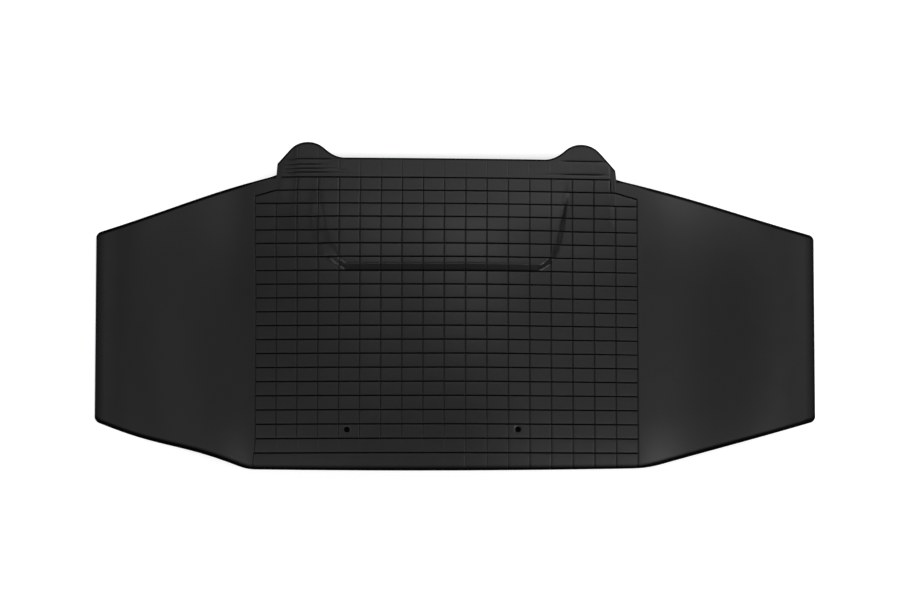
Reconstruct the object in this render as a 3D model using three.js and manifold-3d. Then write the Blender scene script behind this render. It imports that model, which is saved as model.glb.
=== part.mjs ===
// A moulded rubber floor mat that bridges the tunnel between the two rear footwells of a car.
// X runs across the mat, Y from its front edge to its back edge, Z up. The ends lie on Z = 0.
// All sizes are in millimetres.
import * as THREE from 'three';
import Module from 'manifold-3d';

// Sheet
const sheetThickness = 4;
const borderHeight = 41;
const crownRise = 11.5;
const crownRiseAtEdges = 6;
const frontFall = 3;
const frontFallReach = 60;
const backFall = 10;
const backFallReach = 140;
const ridgeRise = 3;
const ridgeHalfWidth = 100;
const ridgeAside = 32;

// Wings
const leftWing = 159.7;
const rightWing = 175.5;
const endDepth = 184.5;
const endSetback = 51;
const endCornerRadius = 4.5;
const landing = 18;
const wingBulge = 3;
const wingBackBow = 1.6;
const leftWingWave = 1.7;
const kneeRounding = 4;
const kneeInset = 8;

// Tile field, with pitches that change evenly across it
const tileColumns = 18;
const columnPitchLeft = 20.2;
const columnPitchRight = 21.2;
const tileRows = 20;
const rowPitchFront = 13.9;
const rowPitchBack = 13.07;
const frontStrip = 16.9;
const frontBow = 1.9;
const frontSkew = 0.5;
const backSkew = 4.1;
const chamferDrop = 6;

// Grooves
const grooveDepth = 1;
const grooveHalfWidth = 0.75;

// Back flap with its two ears
const flapDepth = 20;
const leftEarRoot = 15.5;
const rightEarRoot = 14;
const earHeight = 15.6;
const earRadius = 23.7;
const earOuterSlope = 1.13;
const earInnerSlope = 0.9;
const earBlend = 8.7;
const leftEarPeak = 50;
const rightEarPeak = 54.2;
const earStep = 1.5;
const closingGrooveGap = 4.6;

// Creases over the ears: how far each lies behind the last groove line, and how far it runs inwards
// from the left ear's and the right ear's outer side before it dies away
const creases = [
  { behind: 4.9, leftRun: 104, rightRun: 108 },
  { behind: 8.8, leftRun: 124, rightRun: 0 },
  { behind: 12.9, leftRun: 69, rightRun: 0 },
  { behind: 18.3, leftRun: 69, rightRun: 58 },
];
const creaseMargin = 1.7;
const creaseDepth = 0.8;
const earRim = 5;

// Raised pad at the back of the field, which dies away behind one of the lines
const padRise = 4;
const padFrontLine = 14;
const padFrontSlope = 6.5;
const padFadeLine = 18;
const padLeftInset = 58.5;
const padLeftSlope = 14;
const padLeftCorner = 36;
const padLeftCornerReach = 18;
const padRightInset = 63.5;
const padRightSlope = 6;
const padRightLean = 0.17;
const padRightCorner = 20;
const padRightCornerReach = 10;

// Raised shoulders beside the ears
const shoulderRise = 2.5;
const shoulderReach = 68;
const leftShoulderSlope = 20;
const rightShoulderSlope = 6;

// Bevel around the upper rim
const rimBevel = 1.2;
const wingRimBevel = 2.5;
const rimBevelBlend = 15;
const rimDrop = 1.5;

// Two round holes near the front edge
const holeRadius = 3;
const holeFromFront = 39.6;
const leftHoleInset = 89.4;
const rightHoleInset = 117.1;
const holeSides = 24;

// Spacing of the solid's mesh lines
const cornerSteps = 3;
const wingSteps = 6;
const wingStepGrowth = 1.3;
const finerTiles = 5;
const sharedLineEvery = 3;
const lastLineShare = 0.55;

const clamp = THREE.MathUtils.clamp;
const lerp = THREE.MathUtils.lerp;

function smoothMax(a, b, rounding) {
  const near = Math.max(0, rounding - Math.abs(a - b));
  return Math.max(a, b) + near ** 2 / (4 * rounding);
}

function ramp(distance, width) {
  return clamp(distance / width, 0, 1);
}

function sumOfPitches(count, first, last, total) {
  return count * first + ((last - first) * count * (count - 1)) / (2 * (total - 1));
}

// Main lines of the plan
const fieldWidth = sumOfPitches(tileColumns, columnPitchLeft, columnPitchRight, tileColumns);
const linesDepth = sumOfPitches(tileRows, rowPitchFront, rowPitchBack, tileRows);
const wholeWidth = leftWing + fieldWidth + rightWing;
const leftEnd = -wholeWidth / 2;
const rightEnd = wholeWidth / 2;
const leftBorder = leftEnd + leftWing;
const rightBorder = rightEnd - rightWing;
const fieldMiddle = (leftBorder + rightBorder) / 2;
const bodyDepth = frontStrip + linesDepth + flapDepth;
const frontY = -(bodyDepth + earHeight) / 2;
const backY = frontY + bodyDepth;
const endFrontY = frontY + endSetback;
const endBackY = endFrontY + endDepth;
const leftRootX = leftBorder + columnPitchLeft;
const rightRootX = rightBorder - columnPitchRight;
const closingX = rightRootX - closingGrooveGap;

// The back of the mat runs a little nearer the front on the right than on the left.
function skew(x, y) {
  const across = clamp((x - fieldMiddle) / fieldWidth, -0.5, 0.5);
  const along = clamp((y - frontY) / bodyDepth, 0, 1);
  return -backSkew * across * along;
}

function lineY(number, x) {
  const y = frontY + frontStrip + sumOfPitches(number - 1, rowPitchFront, rowPitchBack, tileRows);
  return y + skew(x, y);
}

// The last line but one is the back border of the field, and it turns down over the outer tiles.
const borderLine = tileRows;
const lastLine = tileRows + 1;

function borderLineY(x) {
  const fromLeft = (x - leftBorder) / columnPitchLeft;
  const fromRight = (rightBorder - x) / columnPitchRight;
  const inside = clamp(Math.min(fromLeft, fromRight), 0, 1);
  return lineY(borderLine, x) - chamferDrop * (1 - inside);
}

// Rounded corners where the wings end
function cornerSetback(x) {
  const fromEnd = Math.min(x - leftEnd, rightEnd - x);
  const inside = clamp(endCornerRadius - fromEnd, 0, endCornerRadius);
  return endCornerRadius - Math.sqrt(endCornerRadius ** 2 - inside ** 2);
}

function frontEdgeY(x) {
  const left = x < fieldMiddle;
  const end = left ? leftEnd : rightEnd;
  const knee = left ? leftBorder - kneeInset : rightBorder + kneeInset;
  const along = (x - end) / (knee - end);
  const wave = left ? leftWingWave * Math.sin(2 * Math.PI * clamp(along, 0, 1)) : 0;
  const across = clamp((2 * (x - fieldMiddle)) / fieldWidth, -1, 1);
  const fieldEdge = frontY + frontBow * across ** 2 + frontSkew * across;
  const wingEdge = lerp(endFrontY, fieldEdge, along) - wave;
  return smoothMax(wingEdge, fieldEdge, kneeRounding) + cornerSetback(x);
}

// One ear: a round top between two straight flanks
function earY(x, peakX, slope) {
  const aside = Math.abs(x - peakX);
  const tangent = earRadius * Math.sin(Math.atan(slope));
  const round = earRadius - Math.sqrt(earRadius ** 2 - Math.min(aside, tangent) ** 2);
  const straight = Math.max(0, aside - tangent) * slope;
  return backY + earHeight - round - straight;
}

function flapEdgeY(x) {
  const leftPeak = leftBorder + leftEarPeak;
  const rightPeak = rightBorder - rightEarPeak;
  const nearer = x < fieldMiddle ? leftPeak : rightPeak;
  const outside = x < leftPeak || x > rightPeak;
  const ear = earY(x, nearer, outside ? earOuterSlope : earInnerSlope);
  return (outside ? ear : smoothMax(backY, ear, earBlend)) + skew(x, backY);
}

function wingBackY(x) {
  const left = x < fieldMiddle;
  const end = left ? leftEnd : rightEnd;
  const rootX = left ? leftRootX : rightRootX;
  const rootY = lineY(borderLine, rootX) + (left ? leftEarRoot : rightEarRoot);
  const along = (x - end) / (rootX - end);
  const bow = wingBackBow * Math.sin(Math.PI * clamp(along, 0, 1));
  return lerp(endBackY + skew(end, endBackY), rootY, along) + bow - cornerSetback(x);
}

function backEdgeY(x) {
  const intoFlap = ramp(Math.min(x - leftRootX, rightRootX - x) + earStep, earStep);
  if (intoFlap === 0) {
    return wingBackY(x);
  }
  return intoFlap === 1 ? flapEdgeY(x) : lerp(wingBackY(x), flapEdgeY(x), intoFlap);
}

function bevelWidth(x) {
  const outside = Math.max(leftBorder - x, x - rightBorder);
  return lerp(rimBevel, wingRimBevel, ramp(outside, rimBevelBlend));
}

// Height of the sheet's upper face
function padHeight(x, y) {
  const footY = lineY(padFrontLine, x);
  const behindFoot = y - footY;
  const leftCorner = padLeftCorner * Math.exp(-Math.max(0, behindFoot) / padLeftCornerReach);
  const rightCorner = padRightCorner * Math.exp(-Math.max(0, behindFoot) / padRightCornerReach);
  const lean = padRightLean * (lineY(lastLine, x) - y);
  const leftSide = x - (leftBorder + padLeftInset + leftCorner) + padLeftSlope / 2;
  const rightSide = rightBorder - padRightInset - rightCorner - lean - x;
  const share = Math.min(
    ramp(behindFoot, padFrontSlope),
    ramp(leftSide, padLeftSlope),
    ramp(rightSide, padRightSlope),
  );
  const fadeY = lineY(padFadeLine, x);
  const faded = ramp(y - fadeY, lineY(lastLine, x) - fadeY);
  return padRise * share * (1 - faded);
}

function shoulderHeight(x, y) {
  const along = ramp(y - (lineY(lastLine, x) - shoulderReach), shoulderReach);
  const leftSide = ramp(x - leftRootX, leftShoulderSlope);
  const rightSide = ramp(rightRootX - x, rightShoulderSlope);
  return shoulderRise * along * Math.min(leftSide, rightSide);
}

function borderLevel(y) {
  const intoFront = Math.max(0, frontY + frontFallReach - y) / frontFallReach;
  const intoBack = Math.max(0, y - (backY - backFallReach)) / backFallReach;
  return borderHeight - frontFall * intoFront ** 2 - backFall * intoBack ** 2;
}

// Share of the way from the middle of the body's depth to its front or back edge
function offMiddle(y) {
  const middleY = (frontY + backY) / 2;
  return clamp((2 * (y - middleY)) / bodyDepth, -1, 1);
}

function crown(y) {
  return lerp(crownRise, crownRiseAtEdges, offMiddle(y) ** 2);
}

// A soft ridge along the arch, a little to the right of the field's middle
function ridge(x, y) {
  const aside = ramp(Math.abs(x - fieldMiddle - ridgeAside), ridgeHalfWidth);
  return ridgeRise * 0.5 * (1 + Math.cos(Math.PI * aside)) * (1 - offMiddle(y) ** 2);
}

// Slope of the crown's parabola at the borders
function crownSlope(y) {
  return (-4 * crown(y)) / fieldWidth;
}

// A smooth fall over a run, from one level at a given slope to another level where it is flat
function sweep(start, slope, finish, run, share) {
  const left = 1 - share;
  const fromStart = (1 + 2 * share) * left ** 2 * start + share * left ** 2 * run * slope;
  return fromStart + share ** 2 * (3 - 2 * share) * finish;
}

function wingLevel(x, y) {
  const left = x < fieldMiddle;
  const border = left ? leftBorder : rightBorder;
  const run = (left ? leftWing : rightWing) - landing;
  const share = clamp(Math.abs(x - border) / run, 0, 1);
  const front = frontEdgeY(x);
  const back = backEdgeY(x);
  const across = clamp((2 * y - front - back) / (back - front), -1, 1);
  const bulge = wingBulge * (4 * share * (1 - share)) ** 2 * (1 - across ** 2);
  return sweep(borderLevel(y), crownSlope(y), sheetThickness, run, share) + bulge;
}

function sheetLevel(x, y) {
  if (x < leftBorder || x > rightBorder) {
    return wingLevel(x, y);
  }
  const across = (2 * (x - fieldMiddle)) / fieldWidth;
  const level = borderLevel(y) + crown(y) * (1 - across ** 2) + ridge(x, y);
  return level + padHeight(x, y) + shoulderHeight(x, y);
}

function rimLoss(x, y) {
  const width = bevelWidth(x);
  const inside = Math.min(x - leftEnd, rightEnd - x, y - frontEdgeY(x), backEdgeY(x) - y);
  return rimDrop * (1 - ramp(inside, width));
}

// Lines of the mesh across the mat, from the left end to the right end
function wingColumns(length) {
  const distances = [];
  for (let step = 0; step <= cornerSteps; step += 1) {
    const angle = (step * Math.PI) / (2 * cornerSteps);
    distances.push(endCornerRadius * (1 - Math.cos(angle)));
  }
  for (let step = 0; step < wingSteps; step += 1) {
    const share = ((wingSteps - step) / wingSteps) ** wingStepGrowth;
    distances.push(length - (length - landing) * share);
  }
  return distances;
}

function fieldColumns() {
  const columns = [];
  for (let number = 0; number <= tileColumns; number += 1) {
    const x = leftBorder + sumOfPitches(number, columnPitchLeft, columnPitchRight, tileColumns);
    columns.push({ x, tile: number });
  }
  return columns;
}

const grooveColumns = fieldColumns();

// Extra lines give the ears and the pad's sides their form. One that would fall close to an ear's
// step or to the closing groove is left out.
function columnsBetween(tile) {
  const from = grooveColumns[tile].x;
  const to = grooveColumns[tile + 1].x;
  const fixed = [leftRootX - earStep, closingX, rightRootX + earStep].filter((x) => x > from && x < to);
  const tilesFromBorder = Math.min(tile, tileColumns - 1 - tile);
  const thirds = [lerp(from, to, 1 / 3), lerp(from, to, 2 / 3)];
  const clear = (x) => fixed.every((other) => Math.abs(other - x) > 2 * earStep);
  const finer = tilesFromBorder > 0 && tilesFromBorder < finerTiles ? thirds.filter(clear) : [];
  return [...fixed, ...finer].sort((a, b) => a - b);
}

const columns = [];
for (const distance of wingColumns(leftWing)) {
  columns.push({ x: leftEnd + distance });
}
const firstFieldColumn = columns.length;
for (const column of grooveColumns) {
  columns.push(column);
  if (column.tile < tileColumns) {
    for (const x of columnsBetween(column.tile)) {
      columns.push({ x });
    }
  }
}
const lastFieldColumn = columns.length - 1;
for (const distance of wingColumns(rightWing).reverse()) {
  columns.push({ x: rightEnd - distance });
}

// Lines of the mesh along the mat, from the front edge to the back edge.
// The shared ones also run through the wings and the underside. The brink of the pad's front slope
// takes the place of the groove line just behind it.
const rows = [{ kind: 'frontEdge', shared: true }, { kind: 'frontBevel', shared: true }];
for (let number = 1; number <= lastLine; number += 1) {
  const regular = number % sharedLineEvery === 0 && number !== padFrontLine + 1;
  rows.push({ kind: 'line', number, shared: regular || number === padFrontLine || number >= borderLine });
  if (number === padFrontLine) {
    rows.push({ kind: 'padBrink', shared: true });
  }
}
creases.forEach((crease, order) => {
  rows.push({ kind: 'crease', crease, shared: order % 2 === 1 });
});
rows.push({ kind: 'backBevel', shared: true }, { kind: 'backEdge', shared: true });

function lastLineY(x) {
  const room = backEdgeY(x) - bevelWidth(x) - borderLineY(x);
  return borderLineY(x) + Math.min(rowPitchBack, room * lastLineShare);
}

function fieldRowY(row, x) {
  if (row.kind === 'line' && row.number < borderLine) {
    return lineY(row.number, x);
  }
  if (row.kind === 'padBrink') {
    const nextLine = lineY(padFrontLine + 1, x) - lineY(padFrontLine, x);
    return lineY(padFrontLine, x) + Math.min(padFrontSlope, nextLine - 2 * grooveHalfWidth);
  }
  if (row.kind === 'line') {
    return row.number === borderLine ? borderLineY(x) : lastLineY(x);
  }
  const room = backEdgeY(x) - bevelWidth(x) - lastLineY(x);
  const needed = creases[creases.length - 1].behind + creaseMargin;
  return lastLineY(x) + row.crease.behind * Math.min(1, room / needed);
}

function rowY(row, x) {
  const front = frontEdgeY(x);
  const back = backEdgeY(x);
  const bevel = bevelWidth(x);
  if (row.kind === 'frontEdge') {
    return front;
  }
  if (row.kind === 'frontBevel') {
    return front + bevel;
  }
  if (row.kind === 'backBevel') {
    return back - bevel;
  }
  if (row.kind === 'backEdge') {
    return back;
  }
  if (x >= leftBorder && x <= rightBorder) {
    return fieldRowY(row, x);
  }
  const border = x < leftBorder ? leftBorder : rightBorder;
  const borderFront = frontEdgeY(border) + bevelWidth(border);
  const borderBack = backEdgeY(border) - bevelWidth(border);
  const share = (fieldRowY(row, border) - borderFront) / (borderBack - borderFront);
  return lerp(front + bevel, back - bevel, share);
}

// Where the grooves run
function acrossIsGroove(columnIndex, row) {
  const middle = (columns[columnIndex].x + columns[columnIndex + 1].x) / 2;
  if (middle < leftBorder || middle > rightBorder) {
    return false;
  }
  if (row.kind === 'line' && row.number <= borderLine) {
    return true;
  }
  const inside = middle > leftRootX && middle < closingX;
  if (row.kind === 'line') {
    return inside;
  }
  if (row.kind === 'crease') {
    const onLeft = middle > leftRootX + earRim && middle < leftRootX + row.crease.leftRun;
    return inside && (onLeft || middle > closingX - row.crease.rightRun);
  }
  return false;
}

function alongIsGroove(columnIndex, rowIndex) {
  const { x, tile } = columns[columnIndex];
  const lower = rows[rowIndex];
  const upper = rows[rowIndex + 1];
  if (lower.kind === 'frontEdge' || upper.kind === 'crease' || lower.kind === 'crease') {
    return false;
  }
  if (upper.kind === 'backBevel' || upper.kind === 'backEdge') {
    return false;
  }
  const toLastLine = upper.kind === 'line' && upper.number === lastLine;
  const toBorderLine = upper.kind === 'line' && upper.number === borderLine;
  if (tile === undefined) {
    return x === closingX && toLastLine;
  }
  if (tile === 0 || tile === tileColumns) {
    return !toLastLine;
  }
  if (tile === 1 || tile === tileColumns - 1) {
    return !toLastLine && !toBorderLine;
  }
  return true;
}

function depthAt(columnIndex, rowIndex) {
  const row = rows[rowIndex];
  const left = columnIndex > 0 && acrossIsGroove(columnIndex - 1, row);
  const right = columnIndex < columns.length - 1 && acrossIsGroove(columnIndex, row);
  const front = rowIndex > 0 && alongIsGroove(columnIndex, rowIndex - 1);
  const back = rowIndex < rows.length - 1 && alongIsGroove(columnIndex, rowIndex);
  if (row.kind === 'crease') {
    return left && right ? creaseDepth : 0;
  }
  return left || right || front || back ? grooveDepth : 0;
}

// The solid's points and triangles
const points = [];
const triangles = [];
const known = new Map();

function point(name, x, y, z) {
  if (!known.has(name)) {
    known.set(name, points.length / 3);
    points.push(x, y, z);
  }
  return known.get(name);
}

function triangle(a, b, c) {
  if (a !== b && b !== c && c !== a) {
    triangles.push(a, b, c);
  }
}

function fan(corners) {
  for (let index = 1; index < corners.length - 1; index += 1) {
    triangle(corners[0], corners[index], corners[index + 1]);
  }
}

// A point of the upper face, at a crossing of two mesh lines or a groove's half width beside it
function topPoint(columnIndex, rowIndex, besideX = 0, besideY = 0) {
  const x = columns[columnIndex].x + besideX * grooveHalfWidth;
  const y = rowY(rows[rowIndex], x) + besideY * grooveHalfWidth;
  const sunk = besideX === 0 && besideY === 0 ? depthAt(columnIndex, rowIndex) : 0;
  const z = sheetLevel(x, y) - rimLoss(x, y) - sunk;
  return point(`top ${columnIndex} ${rowIndex} ${besideX} ${besideY}`, x, y, z);
}

function bottomPoint(columnIndex, rowIndex) {
  const { x } = columns[columnIndex];
  const y = rowY(rows[rowIndex], x);
  return point(`bottom ${columnIndex} ${rowIndex}`, x, y, sheetLevel(x, y) - sheetThickness);
}

// The points where a cell's flat part meets one of its corners, in turn from the line across
// to the line along. A groove beside the corner sets the flat part back.
function cellCorner(columnIndex, rowIndex, towardsX, towardsY, acrossGroove, alongGroove) {
  if (depthAt(columnIndex, rowIndex) === 0) {
    return [topPoint(columnIndex, rowIndex)];
  }
  if (acrossGroove && alongGroove) {
    return [topPoint(columnIndex, rowIndex, towardsX, towardsY)];
  }
  if (acrossGroove) {
    return [topPoint(columnIndex, rowIndex, 0, towardsY)];
  }
  if (alongGroove) {
    return [topPoint(columnIndex, rowIndex, towardsX, 0)];
  }
  return [topPoint(columnIndex, rowIndex, towardsX, 0), topPoint(columnIndex, rowIndex, 0, towardsY)];
}

function makeCell(columnIndex, rowIndex) {
  const nextColumn = columnIndex + 1;
  const nextRow = rowIndex + 1;
  const frontGroove = acrossIsGroove(columnIndex, rows[rowIndex]);
  const backGroove = acrossIsGroove(columnIndex, rows[nextRow]);
  const leftGroove = alongIsGroove(columnIndex, rowIndex);
  const rightGroove = alongIsGroove(nextColumn, rowIndex);
  const frontLeft = cellCorner(columnIndex, rowIndex, 1, 1, frontGroove, leftGroove);
  const frontRight = cellCorner(nextColumn, rowIndex, -1, 1, frontGroove, rightGroove);
  const backRight = cellCorner(nextColumn, nextRow, -1, -1, backGroove, rightGroove);
  const backLeft = cellCorner(columnIndex, nextRow, 1, -1, backGroove, leftGroove);
  const flat = [...frontLeft].reverse().concat(frontRight, [...backRight].reverse(), backLeft);
  fan(flat);
  const corners = [
    [frontLeft, topPoint(columnIndex, rowIndex)],
    [frontRight, topPoint(nextColumn, rowIndex)],
    [backRight, topPoint(nextColumn, nextRow)],
    [backLeft, topPoint(columnIndex, nextRow)],
  ];
  corners.forEach(([found, node], order) => {
    if (found.length === 2) {
      const [across, along] = found;
      fan(order % 2 === 0 ? [node, across, along] : [node, along, across]);
    }
  });
  const nodes = corners.map(([, node]) => node);
  if (frontGroove) {
    fan([nodes[0], nodes[1], frontRight[0], frontLeft[frontLeft.length - 1]]);
  }
  if (rightGroove) {
    fan([nodes[1], nodes[2], backRight[0], frontRight[frontRight.length - 1]]);
  }
  if (backGroove) {
    fan([nodes[2], nodes[3], backLeft[0], backRight[backRight.length - 1]]);
  }
  if (leftGroove) {
    fan([nodes[3], nodes[0], frontLeft[0], backLeft[backLeft.length - 1]]);
  }
}

const sharedRows = rows.map((row, index) => index).filter((index) => rows[index].shared);

function makeWingTop(from, to) {
  for (let columnIndex = from; columnIndex < to; columnIndex += 1) {
    for (let order = 0; order < sharedRows.length - 1; order += 1) {
      const front = sharedRows[order];
      const back = sharedRows[order + 1];
      fan([
        topPoint(columnIndex, front),
        topPoint(columnIndex + 1, front),
        topPoint(columnIndex + 1, back),
        topPoint(columnIndex, back),
      ]);
    }
  }
}

// The upper points along a wing's side of a border groove, with the groove's own flank
function makeBorderFlank(borderColumn, side) {
  const chain = [];
  const flank = (corners) => fan(side < 0 ? corners : corners.reverse());
  rows.forEach((row, rowIndex) => {
    const node = topPoint(borderColumn, rowIndex);
    if (depthAt(borderColumn, rowIndex) === 0) {
      chain.push({ rowIndex, made: node });
      return;
    }
    const beside = topPoint(borderColumn, rowIndex, side, 0);
    if (!alongIsGroove(borderColumn, rowIndex - 1)) {
      const before = topPoint(borderColumn, rowIndex, 0, -1);
      chain.push({ rowIndex, made: before });
      flank([before, node, beside]);
    }
    chain.push({ rowIndex, made: beside });
    if (alongIsGroove(borderColumn, rowIndex)) {
      const nextNode = topPoint(borderColumn, rowIndex + 1);
      flank([beside, node, nextNode, topPoint(borderColumn, rowIndex + 1, side, 0)]);
    } else {
      const behind = topPoint(borderColumn, rowIndex, 0, 1);
      chain.push({ rowIndex, made: behind });
      flank([beside, node, behind]);
    }
  });
  return chain;
}

// Joins the few points along a wing's last line to the many beside the border groove
function joinWing(wingColumn, borderColumn, side) {
  const coarse = sharedRows.map((rowIndex) => ({ rowIndex, made: topPoint(wingColumn, rowIndex) }));
  const fine = makeBorderFlank(borderColumn, side);
  let here = 0;
  let there = 0;
  while (here < coarse.length - 1 || there < fine.length - 1) {
    const stepCoarse = there === fine.length - 1
      || (here < coarse.length - 1 && coarse[here + 1].rowIndex <= fine[there + 1].rowIndex);
    const corners = [coarse[here].made, fine[there].made];
    if (stepCoarse) {
      here += 1;
      corners.push(coarse[here].made);
    } else {
      there += 1;
      corners.push(fine[there].made);
    }
    fan(side < 0 ? corners : corners.reverse());
  }
}

function makeUnderside() {
  for (let columnIndex = 0; columnIndex < columns.length - 1; columnIndex += 1) {
    for (let order = 0; order < sharedRows.length - 1; order += 1) {
      const front = sharedRows[order];
      const back = sharedRows[order + 1];
      fan([
        bottomPoint(columnIndex, front),
        bottomPoint(columnIndex, back),
        bottomPoint(columnIndex + 1, back),
        bottomPoint(columnIndex + 1, front),
      ]);
    }
  }
}

function makeRim() {
  const lastColumn = columns.length - 1;
  const lastRow = rows.length - 1;
  const ring = [];
  for (let columnIndex = 0; columnIndex < lastColumn; columnIndex += 1) {
    ring.push([columnIndex, 0]);
  }
  for (const rowIndex of sharedRows.slice(0, -1)) {
    ring.push([lastColumn, rowIndex]);
  }
  for (let columnIndex = lastColumn; columnIndex > 0; columnIndex -= 1) {
    ring.push([columnIndex, lastRow]);
  }
  for (const rowIndex of sharedRows.slice(1).reverse()) {
    ring.push([0, rowIndex]);
  }
  ring.forEach((place, index) => {
    const next = ring[(index + 1) % ring.length];
    fan([bottomPoint(...place), bottomPoint(...next), topPoint(...next), topPoint(...place)]);
  });
}

function makeSheet() {
  makeWingTop(0, firstFieldColumn - 1);
  joinWing(firstFieldColumn - 1, firstFieldColumn, -1);
  for (let columnIndex = firstFieldColumn; columnIndex < lastFieldColumn; columnIndex += 1) {
    for (let rowIndex = 0; rowIndex < rows.length - 1; rowIndex += 1) {
      makeCell(columnIndex, rowIndex);
    }
  }
  joinWing(lastFieldColumn + 1, lastFieldColumn, 1);
  makeWingTop(lastFieldColumn + 1, columns.length - 1);
  makeUnderside();
  makeRim();
  const geometry = new THREE.BufferGeometry();
  geometry.setAttribute('position', new THREE.Float32BufferAttribute(points, 3));
  geometry.setIndex(triangles);
  return geometry;
}

function holeTool(x) {
  const reach = borderHeight + crownRise + ridgeRise;
  const tool = new THREE.CylinderGeometry(holeRadius, holeRadius, reach * 2, holeSides);
  tool.rotateX(Math.PI / 2);
  tool.translate(x, frontY + holeFromFront, reach);
  return tool;
}

const wasm = await Module();
wasm.setup();

function weld(geometry) {
  const places = new Map();
  const source = geometry.getAttribute('position');
  const vertProperties = [];
  const order = [];
  for (let index = 0; index < source.count; index += 1) {
    const place = [source.getX(index), source.getY(index), source.getZ(index)];
    const name = place.map((value) => value.toFixed(4)).join(' ');
    if (!places.has(name)) {
      places.set(name, places.size);
      vertProperties.push(...place);
    }
    order.push(places.get(name));
  }
  const triVerts = [];
  const faces = geometry.getIndex().array;
  for (let face = 0; face < faces.length; face += 3) {
    const [a, b, c] = [order[faces[face]], order[faces[face + 1]], order[faces[face + 2]]];
    if (a !== b && b !== c && c !== a) {
      triVerts.push(a, b, c);
    }
  }
  return new wasm.Manifold(new wasm.Mesh({
    numProp: 3,
    vertProperties: Float32Array.from(vertProperties),
    triVerts: Uint32Array.from(triVerts),
  }));
}

function unpack(solid) {
  const made = solid.getMesh();
  const geometry = new THREE.BufferGeometry();
  geometry.setAttribute('position', new THREE.Float32BufferAttribute(made.vertProperties, made.numProp));
  geometry.setIndex(Array.from(made.triVerts));
  return geometry;
}

function makeMat() {
  const leftHole = weld(holeTool(leftBorder + leftHoleInset));
  const rightHole = weld(holeTool(rightBorder - rightHoleInset));
  const geometry = unpack(weld(makeSheet()).subtract(leftHole).subtract(rightHole));
  geometry.computeBoundingBox();
  const middle = geometry.boundingBox.getCenter(new THREE.Vector3());
  geometry.translate(-middle.x, -middle.y, 0);
  geometry.computeVertexNormals();
  return geometry;
}

const rubber = new THREE.MeshStandardMaterial({ color: 0x232323, roughness: 0.62, metalness: 0 });
const mat = new THREE.Mesh(makeMat(), rubber);
mat.name = 'mat';

const group = new THREE.Group();
group.add(mat);

export default group;
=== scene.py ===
"""Looks of a moulded rubber car floor mat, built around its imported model. Sizes are in metres."""
import math

import bpy
import numpy as np
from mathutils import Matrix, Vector


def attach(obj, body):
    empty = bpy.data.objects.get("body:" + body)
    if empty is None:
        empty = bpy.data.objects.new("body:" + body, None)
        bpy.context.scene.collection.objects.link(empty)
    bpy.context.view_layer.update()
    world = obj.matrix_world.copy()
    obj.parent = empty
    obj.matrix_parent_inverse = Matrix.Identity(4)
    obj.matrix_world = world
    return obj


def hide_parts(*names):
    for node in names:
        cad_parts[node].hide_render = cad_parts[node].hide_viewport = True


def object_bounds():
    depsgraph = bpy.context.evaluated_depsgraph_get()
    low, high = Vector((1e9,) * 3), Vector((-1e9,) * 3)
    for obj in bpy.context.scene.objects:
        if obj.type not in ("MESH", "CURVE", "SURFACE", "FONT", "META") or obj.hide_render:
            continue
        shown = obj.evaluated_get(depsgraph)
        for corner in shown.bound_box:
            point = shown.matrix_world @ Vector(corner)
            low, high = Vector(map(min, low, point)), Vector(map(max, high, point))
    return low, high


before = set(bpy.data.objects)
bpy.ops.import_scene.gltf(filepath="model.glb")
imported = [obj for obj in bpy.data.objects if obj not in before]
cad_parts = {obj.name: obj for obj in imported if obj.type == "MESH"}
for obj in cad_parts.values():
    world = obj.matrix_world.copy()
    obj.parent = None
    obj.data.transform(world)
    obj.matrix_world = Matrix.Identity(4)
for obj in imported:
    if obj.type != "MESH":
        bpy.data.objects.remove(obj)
cad_low, cad_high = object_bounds()

# Sheet
SHEET_THICKNESS = 0.004
BORDER_HEIGHT = 0.041
CROWN_RISE = 0.0115
CROWN_RISE_AT_EDGES = 0.006
FRONT_FALL = 0.003
FRONT_FALL_REACH = 0.060
BACK_FALL = 0.010
BACK_FALL_REACH = 0.140
RIDGE_RISE = 0.003
RIDGE_HALF_WIDTH = 0.100
RIDGE_ASIDE = 0.032

# Wings
LEFT_WING = 0.1597
RIGHT_WING = 0.1755
END_DEPTH = 0.1845
END_SETBACK = 0.051
END_CORNER_RADIUS = 0.0045
LANDING = 0.018
WING_BULGE = 0.003
WING_BACK_BOW = 0.0016
LEFT_WING_WAVE = 0.0017
KNEE_ROUNDING = 0.004
KNEE_INSET = 0.008

# Tile field, with pitches that change evenly across it
TILE_COLUMNS = 18
COLUMN_PITCH_LEFT = 0.0202
COLUMN_PITCH_RIGHT = 0.0212
TILE_ROWS = 20
ROW_PITCH_FRONT = 0.0139
ROW_PITCH_BACK = 0.01307
FRONT_STRIP = 0.0169
FRONT_BOW = 0.0019
FRONT_SKEW = 0.0005
BACK_SKEW = 0.0041
CHAMFER_DROP = 0.006
LEFT_DRIFT = 0.0014
LEFT_DRIFT_LINE = 12
LEFT_DRIFT_RUN = 0.070
LEFT_DRIFT_REACH = 0.085
LEFT_FLARE = 0.0025
LEFT_FLARE_LINE = 2
LEFT_FLARE_RUN = 0.026
LEFT_FLARE_REACH = 0.014

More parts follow.
